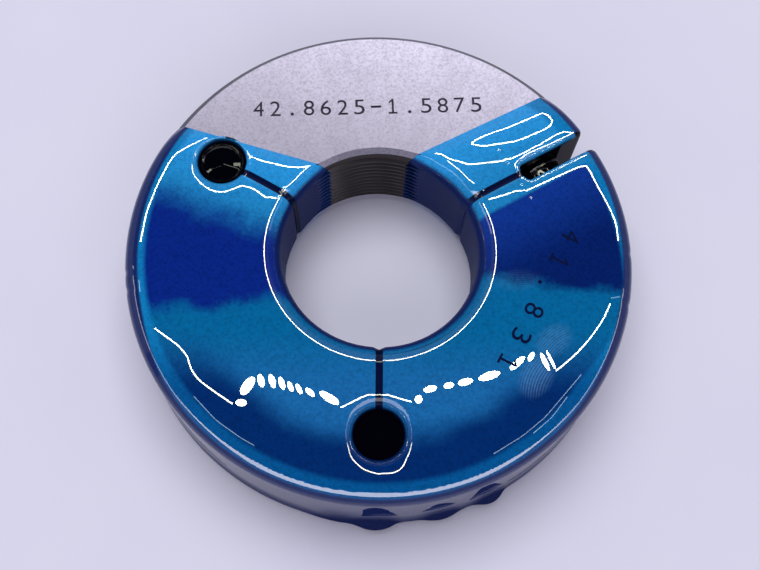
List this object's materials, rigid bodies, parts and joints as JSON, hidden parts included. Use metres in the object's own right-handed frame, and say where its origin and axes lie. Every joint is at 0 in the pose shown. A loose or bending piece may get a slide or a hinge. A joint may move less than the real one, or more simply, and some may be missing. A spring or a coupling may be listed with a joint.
{
  "type": "adjustable thread ring gauge",
  "caption": "Split steel ring with an internal thread for checking a screw, locked by a screw device and sealed in a glossy blue peelable coating that leaves one part of it bare.",
  "frame": {"origin": "middle of the bore: on the thread's axis, half way between the two faces", "axes": "+Z along the thread's axis, out of the face that carries the size numerals; -Y through the closed slot opposite the bare steel"},
  "size_m": [0.1032, 0.1051, 0.0218],
  "materials": {
    "ground_steel": "ground, slightly matt",
    "screw_steel": "turned and blackened",
    "blue_coating": "clear blue, glossy, soft"
  },
  "bodies": {
    "root": {"gauge_ring": "ground_steel", "alignment_sleeve": "screw_steel", "adjusting_screw": "screw_steel", "locking_screw": "screw_steel", "dip_coating": "blue_coating"}
  },
  "joints": []
}
